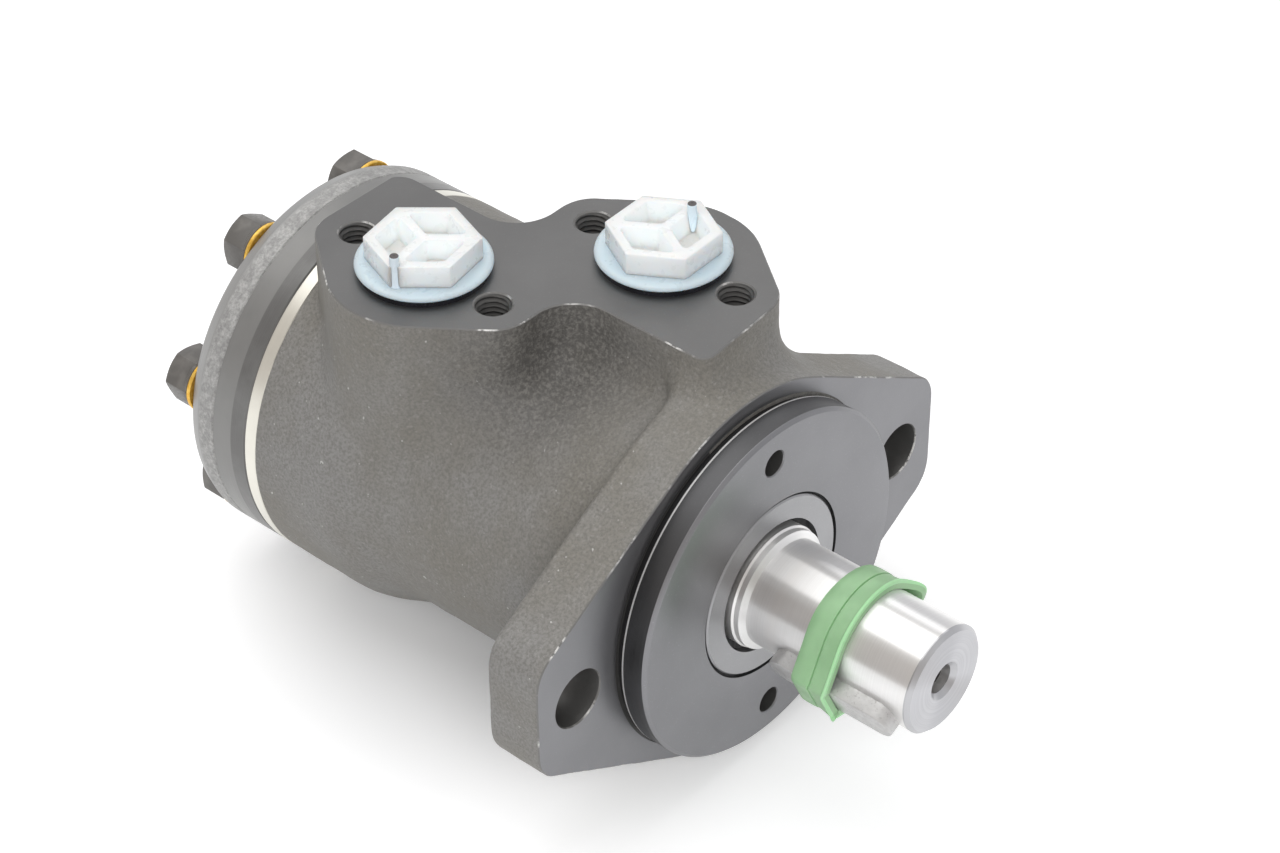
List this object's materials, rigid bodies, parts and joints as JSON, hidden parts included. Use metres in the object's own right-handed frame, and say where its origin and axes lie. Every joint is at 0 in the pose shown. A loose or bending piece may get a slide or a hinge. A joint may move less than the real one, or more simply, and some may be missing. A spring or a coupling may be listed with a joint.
{
  "type": "orbital hydraulic motor",
  "caption": "Low-speed hydraulic motor with an oval two-bolt flange, round pilot, keyed shaft, flat port pad with capped ports, and a bolted gear set behind the housing.",
  "frame": {"origin": "on the shaft axis in the plane of the mounting flange face, midway between the two flange holes", "axes": "+Z out of the port pad, -Y along the shaft away from the motor, +X towards the side of the front port"},
  "size_m": [0.1308, 0.1874, 0.1096],
  "materials": {
    "casting": "as-cast, oiled, faces machined",
    "seal_carrier_steel": "machined and phosphated",
    "rubber": "moulded nitrile",
    "ground_steel": "ground",
    "inner_steel": "hardened and ground",
    "key_steel": "bright drawn, dull",
    "band_green": "soft moulded",
    "plate_steel": "ground",
    "ring_steel": "machined, oiled",
    "cover_iron": "cast rim, turned face",
    "screw_steel": "blackened",
    "washer_zinc": "yellow zinc plated",
    "plug_white": "moulded polyethylene"
  },
  "bodies": {
    "motor_body": {"housing": "casting", "seal_carrier": "seal_carrier_steel", "dust_seal": "rubber", "shaft_seal": "rubber", "thrust_race": "inner_steel", "channel_plate": "plate_steel", "gear_ring": "ring_steel", "end_cover": "cover_iron", "housing_seal": "rubber", "plate_seal": "rubber", "cover_seal": "rubber", "cover_screws": "screw_steel", "screw_washers": "washer_zinc"},
    "rotor": {"output_shaft": "ground_steel", "shaft_key": "key_steel", "key_band": "band_green"},
    "orbiter": {"drive_spacer": "inner_steel"},
    "star": {"star_gear": "inner_steel"},
    "cardan": {"cardan_shaft": "inner_steel"},
    "bearing_cage": {"needle_cage": "inner_steel", "thrust_needles": "inner_steel"},
    "front_plug": {"port_plug_front": "plug_white", "plug_seal_front": "rubber"},
    "rear_plug": {"port_plug_rear": "plug_white", "plug_seal_rear": "rubber"}
  },
  "joints": [
    {"name": "shaft_spin", "type": "hinge", "parent": "motor_body", "child": "rotor", "pos_m": [0, -0.02, 0], "axis": [0, 1, 0], "continuous": true},
    {"name": "orbit", "type": "hinge", "parent": "motor_body", "child": "orbiter", "pos_m": [0, 0.11225, 0], "axis": [0, 1, 0], "continuous": true},
    {"name": "star_spin", "type": "hinge", "parent": "orbiter", "child": "star", "pos_m": [0, 0.11225, -0.003], "axis": [0, 1, 0], "continuous": true},
    {"name": "cardan_spin", "type": "hinge", "parent": "orbiter", "child": "cardan", "pos_m": [0, 0.03508, 0], "axis": [0, 0.9992, -0.0388], "continuous": true},
    {"name": "cage_spin", "type": "hinge", "parent": "motor_body", "child": "bearing_cage", "pos_m": [0, 0.01658, 0], "axis": [0, 1, 0], "continuous": true},
    {"name": "front_plug_lift", "type": "slide", "parent": "motor_body", "child": "front_plug", "axis": [0, 0, 1], "range_m": [0, 0.03]},
    {"name": "rear_plug_lift", "type": "slide", "parent": "motor_body", "child": "rear_plug", "axis": [0, 0, 1], "range_m": [0, 0.03]}
  ],
  "couplings": [
    {"joint": "orbit", "follows": "shaft_spin", "ratio": -6},
    {"joint": "star_spin", "follows": "shaft_spin", "ratio": 7},
    {"joint": "cardan_spin", "follows": "shaft_spin", "ratio": 7},
    {"joint": "cage_spin", "follows": "shaft_spin", "ratio": 0.5}
  ]
}
